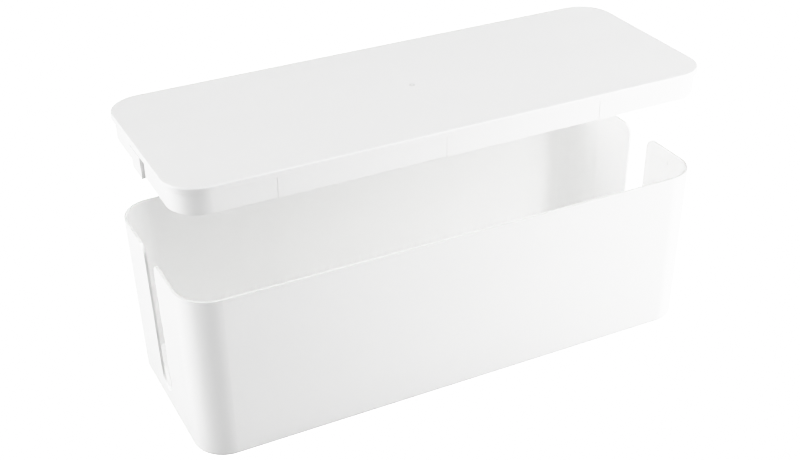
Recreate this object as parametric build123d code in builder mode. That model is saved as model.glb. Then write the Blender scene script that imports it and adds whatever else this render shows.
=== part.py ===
from build123d import *
import os

# Cable management box: a deep open-topped moulding with a lift-off lid, standing on four rubber feet.
#
# Millimetres, +Z up. The origin is on the surface that the feet stand on, under the middle of the box.
# +X runs along the box and -Y is its front. The lid is modelled lifted straight up off its seat.

# Box body
rim_height = 130.0
rim_length, rim_width, rim_radius = 406.4, 156.4, 25.7
base_length, base_width, base_radius = 399.6, 151.6, 24.0
base_height = 1.0  # the feet hold the base this far off the desk
wall_thickness = 2.0
floor_thickness = 2.5
base_edge_radius = 3.0
floor_edge_radius = 2.0
lip_radius = 0.35

# Cable slot in each end wall
slot_width = 22.0
slot_bottom = 16.0
slot_mouth_radius = 9.0

# Beads inside the end walls: each is a ramp that leads the lid's skirt in, with a ledge under it
bead_top_drop, bead_ledge_drop, bead_low_drop = 7.7, 11.3, 11.7  # below the rim
bead_proud = 0.3
bead_length, bead_place = 20.0, 30.0

# Lid
lid_lift = 78.5  # how far the lid is off its seat
flange_length, flange_width, flange_radius = 405.8, 155.8, 25.4
flange_height = 4.4
flange_edge_radius = 1.0
flange_low_edge_radius = 0.3
top_thickness = 2.2
skirt_depth = 15.8
skirt_gap = 0.45
skirt_thickness = 2.0
skirt_edge_radius = 0.4
pad_proud = 0.15
pad_length, pad_places = 25.0, (-121.0, 0.0, 121.0)
key_edge_radius = 0.4
key_width = 20.8
gate_diameter, gate_pip_diameter, gate_depth = 4.6, 1.6, 0.2

# Rubber feet, set in recesses in the base
foot_diameter = 10.0
foot_recess_depth = 0.8
foot_side_gap = 0.1
foot_edge_radius = 0.4
foot_place_x, foot_place_y = 170.0, 52.0

wall_height = rim_height - base_height
wall_lean = (rim_length - base_length) / 2 / wall_height
skirt_inset = wall_thickness + skirt_gap
lid_seat = rim_height + lid_lift
lid_top = lid_seat + flange_height


def outer_form(low, high, inset, raised=0.0):
    """The drafted form of the box's outside between two heights, drawn in all round by inset, and raised."""
    with BuildPart() as form:
        for height in (low, high):
            share = (height - base_height) / wall_height
            length = base_length + share * (rim_length - base_length) - 2 * inset
            width = base_width + share * (rim_width - base_width) - 2 * inset
            radius = base_radius + share * (rim_radius - base_radius) - inset
            with BuildSketch(Plane.XY.offset(height + raised)):
                RectangleRounded(length, width, radius)
        loft(ruled=True)
    return form.part


def bead():
    """A bead along Y, drawn from the rim down: its root is in the leaning wall on its +X side."""
    root = 0.5 * wall_thickness
    wall_at_top = wall_lean * (bead_low_drop - bead_top_drop)
    with BuildPart() as ridge:
        with BuildSketch(Plane.XZ):
            with BuildLine():
                Polyline(
                    (root, -bead_low_drop),
                    (0, -bead_low_drop),
                    (-bead_proud, -bead_ledge_drop),
                    (wall_at_top, -bead_top_drop),
                    (root, -bead_top_drop),
                    close=True,
                )
            make_face()
        extrude(amount=bead_length / 2, both=True)
    return ridge.part


# ------------------------------------------------------------------ beads
bead_x = rim_length / 2 - wall_thickness - wall_lean * bead_low_drop

with BuildPart() as beads:
    with Locations((bead_x, bead_place, rim_height)):
        add(bead())
    mirror(about=Plane.XZ)
    mirror(about=Plane.YZ)

# ------------------------------------------------------------------ box body
with BuildPart() as cavity:
    add(outer_form(base_height + floor_thickness, rim_height, wall_thickness))
    fillet(cavity.faces().sort_by(Axis.Z)[0].edges(), floor_edge_radius)

outside = outer_form(base_height, rim_height, 0)

with BuildPart() as box_body:
    add(outside)
    fillet(box_body.faces().sort_by(Axis.Z)[0].edges(), base_edge_radius)
    add(cavity.part, mode=Mode.SUBTRACT)

    # cable slots, open at the rim, with a full round at the bottom
    slot_round = slot_bottom + slot_width / 2
    with BuildSketch(Plane.YZ):
        with Locations((0, (slot_round + rim_height) / 2)):
            Rectangle(slot_width, rim_height - slot_round)
        with Locations((0, slot_round)):
            Circle(slot_width / 2)
    extrude(amount=rim_length / 2, both=True, mode=Mode.SUBTRACT)
    mouth_corners = box_body.edges().filter_by(Axis.X).filter_by_position(Axis.Z, rim_height, rim_height)
    fillet(mouth_corners.filter_by_position(Axis.Y, -slot_width / 2, slot_width / 2), slot_mouth_radius)

    # the lip: every edge round the rim and the slots, but not the short ones across the wall
    short_edge = 1.2 * wall_thickness
    rim_faces = box_body.faces().filter_by(Plane.XY).group_by(Axis.Z)[-1]
    slot_faces = box_body.faces().filter_by(
        lambda face: face.area < short_edge * rim_height and face.center().Z > slot_bottom
    )
    fillet((rim_faces + slot_faces).edges().filter_by(lambda edge: edge.length > short_edge), lip_radius)

    add(beads.part)

    # recesses for the feet
    foot_places = GridLocations(2 * foot_place_x, 2 * foot_place_y, 2, 2)
    with BuildSketch(Plane.XY.offset(base_height)):
        with foot_places:
            Circle(foot_diameter / 2 + foot_side_gap)
    extrude(amount=foot_recess_depth, mode=Mode.SUBTRACT)

# ------------------------------------------------------------------ lid
skirt_low = rim_height - skirt_depth
plan_at_skirt_low = Plane.XY.offset(skirt_low + lid_lift)

# three low pads along each side of the skirt bear on the walls
with BuildPart() as pads:
    add(outer_form(skirt_low, rim_height, skirt_inset - pad_proud, lid_lift))
    add(outer_form(skirt_low, rim_height, skirt_inset + skirt_thickness / 2, lid_lift), mode=Mode.SUBTRACT)
    with BuildSketch(plan_at_skirt_low):
        with Locations(*[(x, 0) for x in pad_places]):
            Rectangle(pad_length, rim_width)
    extrude(amount=skirt_depth, mode=Mode.INTERSECT)

# a key on each end of the skirt fills the slot's mouth, flush with the outside of the box
with BuildPart() as keys:
    add(outer_form(skirt_low, rim_height, 0, lid_lift))
    add(outer_form(skirt_low, rim_height, skirt_inset + skirt_thickness / 2, lid_lift), mode=Mode.SUBTRACT)
    with BuildSketch(plan_at_skirt_low):
        Rectangle(rim_length, key_width)
    extrude(amount=skirt_depth, mode=Mode.INTERSECT)
    outer_edges = keys.edges().filter_by(lambda edge: abs(edge.center().X) > rim_length / 2 - key_edge_radius)
    fillet(outer_edges.filter_by(lambda edge: abs(edge.center().Y) > key_width / 4), key_edge_radius)

skirt = outer_form(skirt_low, rim_height, skirt_inset, lid_lift)
lid_hollow = outer_form(
    skirt_low, rim_height + flange_height - top_thickness, skirt_inset + skirt_thickness, lid_lift
)

with BuildPart() as lid:
    with BuildSketch(Plane.XY.offset(lid_seat)):
        RectangleRounded(flange_length, flange_width, flange_radius)
    extrude(amount=flange_height)
    fillet(lid.faces().sort_by(Axis.Z)[-1].edges(), flange_edge_radius)
    fillet(lid.faces().sort_by(Axis.Z)[0].edges(), flange_low_edge_radius)
    add(skirt)
    fillet(lid.faces().sort_by(Axis.Z)[0].edges(), skirt_edge_radius)
    add(pads.part)
    add(keys.part)
    add(lid_hollow, mode=Mode.SUBTRACT)

    # the mark left by the moulding gate, in the middle of the top
    with BuildSketch(Plane.XY.offset(lid_top)):
        Circle(gate_diameter / 2)
        Circle(gate_pip_diameter / 2, mode=Mode.SUBTRACT)
    extrude(amount=-gate_depth, mode=Mode.SUBTRACT)

# ------------------------------------------------------------------ feet
with BuildPart() as foot:
    Cylinder(foot_diameter / 2, base_height + foot_recess_depth, align=(Align.CENTER, Align.CENTER, Align.MIN))
    fillet(foot.edges().group_by(Axis.Z)[0], foot_edge_radius)

# ------------------------------------------------------------------ export
os.makedirs("parts", exist_ok=True)
box_body.part.label = "box_body"
export_step(box_body.part, "parts/box_body.step")
lid.part.label = "lid"
export_step(lid.part, "parts/lid.step")

for end, x in (("left", -foot_place_x), ("right", foot_place_x)):
    for side, y in (("front", -foot_place_y), ("rear", foot_place_y)):
        with BuildPart() as placed_foot:
            with Locations((x, y, 0)):
                add(foot.part)
        placed_foot.part.label = f"foot_{side}_{end}"
        export_step(placed_foot.part, f"parts/foot_{side}_{end}.step")
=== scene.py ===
import math

import bpy
from mathutils import Matrix, Vector


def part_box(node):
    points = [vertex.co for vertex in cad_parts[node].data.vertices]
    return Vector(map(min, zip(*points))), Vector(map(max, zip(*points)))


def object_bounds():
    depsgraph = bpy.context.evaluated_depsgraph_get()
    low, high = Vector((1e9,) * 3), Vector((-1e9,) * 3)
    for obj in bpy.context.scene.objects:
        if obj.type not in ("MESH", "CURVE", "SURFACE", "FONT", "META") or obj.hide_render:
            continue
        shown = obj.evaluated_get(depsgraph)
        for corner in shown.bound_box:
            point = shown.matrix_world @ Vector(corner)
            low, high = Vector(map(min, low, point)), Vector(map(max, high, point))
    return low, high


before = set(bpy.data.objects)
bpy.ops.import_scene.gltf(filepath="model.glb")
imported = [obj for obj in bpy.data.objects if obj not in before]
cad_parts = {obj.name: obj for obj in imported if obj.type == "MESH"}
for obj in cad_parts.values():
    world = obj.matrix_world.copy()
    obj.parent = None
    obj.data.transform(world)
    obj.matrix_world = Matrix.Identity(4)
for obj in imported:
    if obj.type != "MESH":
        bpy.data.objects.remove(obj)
cad_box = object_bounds()

# ------------------------------------------------------------------ camera: degrees and metres
camera_yaw, camera_pitch, camera_roll = -25.98, 30.04, -1.02
camera_pivot = Vector((0, 0, 0.080))
camera_right, camera_rise, camera_distance = -0.01058, 0.01228, 1.01577
camera_lens, sensor_width = 60.39, 36.0

# ------------------------------------------------------------------ lights: metres and watts
centre = (cad_box[0] + cad_box[1]) / 2
softboxes = {
    "softbox_top": dict(place=(0.15, 0.10, 1.40), size=(1.4, 1.0), on_lid=7.3, on_rest=13.2),
    "softbox_top_right": dict(place=(0.85, 0.15, 1.15), size=(1.0, 1.0), on_lid=4.7, on_rest=2.0),
    "softbox_left": dict(place=(-1.20, 0.20, 0.56), size=(0.55, 0.70), on_lid=8.4, on_rest=6.4),
    "softbox_low_left": dict(place=(-1.20, 0.06, 0.15), size=(0.6, 0.25), on_lid=4.6, on_rest=6.3),
    "softbox_right": dict(place=(1.05, -0.75, 0.50), size=(1.0, 0.7), on_lid=5.2, on_rest=1.8),
    "softbox_low_right": dict(place=(1.05, -0.74, 0.08), size=(1.0, 0.14), on_lid=15.5, on_rest=16.4),
    "softbox_front": dict(place=(0.35, -1.20, 1.30), size=(1.0, 0.8), on_lid=4.7, on_rest=5.3),
}
world_strength, floor_glow = 0.17, 0.08  # what lights the object; the camera sees both as plain white
floor_size, floor_shade = 12.0, 0.3

# ------------------------------------------------------------------ film: scene light, light shown for it
shoulder = ((0.70, 0.70), (0.90, 0.87), (1.10, 0.955), (1.50, 0.985), (3.00, 1.0))
white_light = shoulder[-1][0]
all_channels = 3  # the film's curve for red, green and blue together


# ------------------------------------------------------------------ node helpers
def new_material(name):
    """An empty node material and its principled shader."""
    material = bpy.data.materials.new(name)
    material.use_nodes = True
    shader = material.node_tree.nodes["Principled BSDF"]
    return material, shader


def noise(tree, scale, detail=2.0, stretch=(1, 1, 1), distortion=0.0):
    """A noise pattern fixed to the object, with that many features to a metre."""
    coordinates = tree.nodes.new("ShaderNodeTexCoord")
    mapping = tree.nodes.new("ShaderNodeMapping")
    mapping.inputs["Scale"].default_value = stretch
    pattern = tree.nodes.new("ShaderNodeTexNoise")
    pattern.inputs["Scale"].default_value = scale
    pattern.inputs["Detail"].default_value = detail
    pattern.inputs["Distortion"].default_value = distortion
    tree.links.new(coordinates.outputs["Object"], mapping.inputs["Vector"])
    tree.links.new(mapping.outputs["Vector"], pattern.inputs["Vector"])
    return pattern.outputs["Fac"]


def spread(tree, value, low, high, start=0.3, end=0.7):
    """value between start and end, mapped to low to high."""
    ranged = tree.nodes.new("ShaderNodeMapRange")
    for name, number in (("From Min", start), ("From Max", end), ("To Min", low), ("To Max", high)):
        ranged.inputs[name].default_value = number
    tree.links.new(value, ranged.inputs["Value"])
    return ranged.outputs["Result"]


def combine(tree, operation, first, second):
    """Two values put together by a maths operation."""
    node = tree.nodes.new("ShaderNodeMath")
    node.operation = operation
    for socket, value in zip(node.inputs, (first, second)):
        if isinstance(value, float):
            socket.default_value = value
        else:
            tree.links.new(value, socket)
    return node.outputs["Value"]


def blend_colours(tree, share, first, second):
    """The first colour where share is 0 and the second where it is 1."""
    mix = tree.nodes.new("ShaderNodeMix")
    mix.data_type = "RGBA"
    tree.links.new(share, mix.inputs["Factor"])
    # a mix node has sockets for every data type: these are the ones for colours
    for socket, colour in ((mix.inputs[6], first), (mix.inputs[7], second)):
        if isinstance(colour, tuple):
            socket.default_value = (*colour, 1)
        else:
            tree.links.new(colour, socket)
    return mix.outputs[2]


def plain_white_to_camera(tree, shader, flat_white, output):
    """The shader lights the object, and the camera sees a flat white in its place."""
    seen = tree.nodes.new("ShaderNodeMixShader")
    flat = tree.nodes.new(flat_white)
    flat.inputs["Color"].default_value = (1, 1, 1, 1)
    flat.inputs["Strength"].default_value = white_light
    tree.links.new(tree.nodes.new("ShaderNodeLightPath").outputs["Is Camera Ray"], seen.inputs["Fac"])
    tree.links.new(shader, seen.inputs[1])
    tree.links.new(flat.outputs[0], seen.inputs[2])
    tree.links.new(seen.outputs["Shader"], tree.nodes[output].inputs["Surface"])


def bump(tree, height, depth, below=None):
    """A bump of that depth in metres, on top of another bump."""
    node = tree.nodes.new("ShaderNodeBump")
    node.inputs["Strength"].default_value = 1.0
    node.inputs["Distance"].default_value = depth
    tree.links.new(height, node.inputs["Height"])
    if below is not None:
        tree.links.new(below, node.inputs["Normal"])
    return node.outputs["Normal"]


# ------------------------------------------------------------------ materials
plastic_ior = 1.49
rim_shade_grey = (0.72, 0.72, 0.715)  # painted shade along the top of the box's rim
lip_depth = 0.0004
gate_shade_grey = (0.77, 0.77, 0.765)  # painted shade: the darker ring round the lid's moulding gate
gate_shade_inner, gate_shade_outer, gate_shade_edge = 0.0010, 0.0024, 0.0004


def white_plastic(name, light, shade, gloss):
    """Satin moulded plastic: spark-eroded grain, faint flow marks, and rubbing marks along the length."""
    material, shader = new_material(name)
    tree = material.node_tree
    flow = noise(tree, 7.0, detail=3.0, stretch=(0.5, 1, 1), distortion=0.6)
    speck = noise(tree, 900.0, detail=1.0)
    grain = noise(tree, 2400.0, detail=2.0)
    waves = noise(tree, 45.0, detail=1.0)
    rubbed = noise(tree, 55.0, detail=4.0, stretch=(0.12, 1, 1), distortion=0.3)

    tone = blend_colours(tree, spread(tree, flow, 0.0, 1.0), light, shade)
    fine_tone = blend_colours(tree, spread(tree, speck, 0.0, 0.25, 0.62, 0.74), tone, shade)
    tree.links.new(fine_tone, shader.inputs["Base Color"])

    flow_gloss = spread(tree, flow, gloss - 0.03, gloss + 0.03)
    rubbed_gloss = spread(tree, rubbed, 0.0, 0.06, 0.5, 0.72)
    roughness = combine(tree, "ADD", flow_gloss, rubbed_gloss)
    tree.links.new(roughness, shader.inputs["Roughness"])

    surface = bump(tree, waves, 0.00006)
    surface = bump(tree, grain, 0.000012, surface)
    tree.links.new(surface, shader.inputs["Normal"])

    shader.inputs["IOR"].default_value = plastic_ior
    return material


def tint(material, share, colour):
    """Where share is 1, the plastic takes a colour in place of its own."""
    tree = material.node_tree
    socket = tree.nodes["Principled BSDF"].inputs["Base Color"]
    tree.links.new(blend_colours(tree, share, socket.links[0].from_socket, colour), socket)


def object_place(tree):
    """The three coordinates of the point, fixed to the object."""
    place = tree.nodes.new("ShaderNodeSeparateXYZ")
    tree.links.new(tree.nodes.new("ShaderNodeTexCoord").outputs["Object"], place.inputs["Vector"])
    return place.outputs


def paint_rim_shade(material, top):
    """Painted shade: the rim's top edge, greyed."""
    tree = material.node_tree
    shaded_band = spread(tree, object_place(tree)["Z"], 0.0, 1.0, top - lip_depth, top - lip_depth / 2)
    tint(material, shaded_band, rim_shade_grey)


def paint_gate_shade(material):
    """Painted shade: a darker ring round the moulding gate, in the middle."""
    tree = material.node_tree
    place = object_place(tree)
    across = [combine(tree, "MULTIPLY", place[axis], place[axis]) for axis in ("X", "Y")]
    radius = combine(tree, "SQRT", combine(tree, "ADD", *across), 0.0)
    inside = spread(tree, radius, 1.0, 0.0, gate_shade_outer - gate_shade_edge, gate_shade_outer)
    outside = spread(tree, radius, 0.0, 1.0, gate_shade_inner - gate_shade_edge, gate_shade_inner)
    tint(material, combine(tree, "MULTIPLY", inside, outside), gate_shade_grey)


def grey_rubber():
    """Soft matt rubber with a fine pitted skin and some dust."""
    material, shader = new_material("grey_rubber")
    tree = material.node_tree
    pits = noise(tree, 1600.0, detail=3.0)
    dust = noise(tree, 260.0, detail=4.0)
    colour = blend_colours(tree, spread(tree, dust, 0.0, 1.0), (0.60, 0.60, 0.59), (0.68, 0.67, 0.65))
    tree.links.new(colour, shader.inputs["Base Color"])
    tree.links.new(spread(tree, pits, 0.78, 0.92), shader.inputs["Roughness"])
    tree.links.new(bump(tree, pits, 0.00005), shader.inputs["Normal"])
    return material


def pale_floor():
    """The plain floor that the object stands on."""
    material, shader = new_material("pale_floor")
    shader.inputs["Base Color"].default_value = (floor_shade, floor_shade, floor_shade, 1)
    shader.inputs["Roughness"].default_value = 0.9
    shader.inputs["Specular IOR Level"].default_value = 0.0
    shader.inputs["Emission Color"].default_value = (1, 1, 1, 1)
    shader.inputs["Emission Strength"].default_value = floor_glow
    tree = material.node_tree
    plain_white_to_camera(tree, shader.outputs["BSDF"], "ShaderNodeEmission", "Material Output")
    return material


rim_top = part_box("box_body")[1][2]
box_plastic = white_plastic("box_plastic", (0.90, 0.90, 0.897), (0.88, 0.88, 0.876), 0.42)
lid_plastic = white_plastic("lid_plastic", (0.90, 0.90, 0.897), (0.88, 0.88, 0.877), 0.40)
foot_rubber = grey_rubber()
# painted shade greys the top of the box's rim
paint_rim_shade(box_plastic, rim_top)
# painted shade darkens a ring round the lid's moulding gate
paint_gate_shade(lid_plastic)

# ------------------------------------------------------------------ the CAD nodes take their materials
for name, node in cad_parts.items():
    material = {"box_body": box_plastic, "lid": lid_plastic}.get(name, foot_rubber)
    for material_slot in node.material_slots:
        material_slot.material = material

# ------------------------------------------------------------------ floor, lights and camera
floor_mesh = bpy.data.meshes.new("floor")
half = floor_size / 2
floor_corners = [(-half, -half, 0), (half, -half, 0), (half, half, 0), (-half, half, 0)]
floor_mesh.from_pydata(floor_corners, [], [(0, 1, 2, 3)])
floor = bpy.data.objects.new("floor", floor_mesh)
floor.data.materials.append(pale_floor())
bpy.context.scene.collection.objects.link(floor)

# each softbox is two lamps: one for the lid, and one for all the rest, on which the lid casts no shadow
lid_alone = bpy.data.collections.new("lid_alone")
all_but_lid = bpy.data.collections.new("all_but_lid")
for group, state in ((lid_alone, "INCLUDE"), (all_but_lid, "EXCLUDE")):
    group.objects.link(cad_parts["lid"])
    group.collection_objects[0].light_linking.link_state = state

for name, made in softboxes.items():
    for group, power in ((lid_alone, made["on_lid"]), (all_but_lid, made["on_rest"])):
        light = bpy.data.lights.new(f"{name}_for_{group.name}", "AREA")
        light.shape = "RECTANGLE"
        light.size, light.size_y = made["size"]
        light.energy = power
        lamp = bpy.data.objects.new(light.name, light)
        lamp.location = made["place"]
        lamp.rotation_euler = (centre - lamp.location).to_track_quat("-Z", "Y").to_euler()
        lamp.visible_camera = False
        lamp.light_linking.receiver_collection = group
        if group is all_but_lid:
            lamp.light_linking.blocker_collection = group
        bpy.context.scene.collection.objects.link(lamp)

world = bpy.data.worlds.new("studio")
world.use_nodes = True
tree = world.node_tree
sky = tree.nodes["Background"]
sky.inputs["Color"].default_value = (1, 1, 1, 1)
sky.inputs["Strength"].default_value = world_strength
plain_white_to_camera(tree, sky.outputs["Background"], "ShaderNodeBackground", "World Output")
bpy.context.scene.world = world

yaw, pitch = math.radians(camera_yaw), math.radians(camera_pitch)
back = Vector((math.sin(yaw) * math.cos(pitch), -math.cos(yaw) * math.cos(pitch), math.sin(pitch)))
turn = Matrix.Rotation(math.radians(camera_roll), 3, back)
right = turn @ Vector((math.cos(yaw), math.sin(yaw), 0))
up = back.cross(right)
lens = bpy.data.cameras.new("camera")
lens.lens, lens.sensor_width = camera_lens, sensor_width
lens.clip_start, lens.clip_end = 0.05, 50.0
camera = bpy.data.objects.new("camera", lens)
camera.matrix_world = Matrix.Translation(
    camera_pivot + camera_right * right + camera_rise * up + camera_distance * back
) @ Matrix((right, up, back)).transposed().to_4x4()
bpy.context.scene.collection.objects.link(camera)
bpy.context.scene.camera = camera

# the film is true up to the middle tones, and its soft shoulder holds the edges of white plastic on white
film = bpy.context.scene.view_settings
film.view_transform = "Standard"
film.use_curve_mapping = True
film.curve_mapping.clip_max_x = white_light
tones = film.curve_mapping.curves[all_channels]
for point, (scene_light, shown) in zip(tones.points, ((0, 0), shoulder[-1])):
    point.location = (scene_light, shown)
for scene_light, shown in shoulder[:-1]:
    tones.points.new(scene_light, shown)
film.curve_mapping.update()
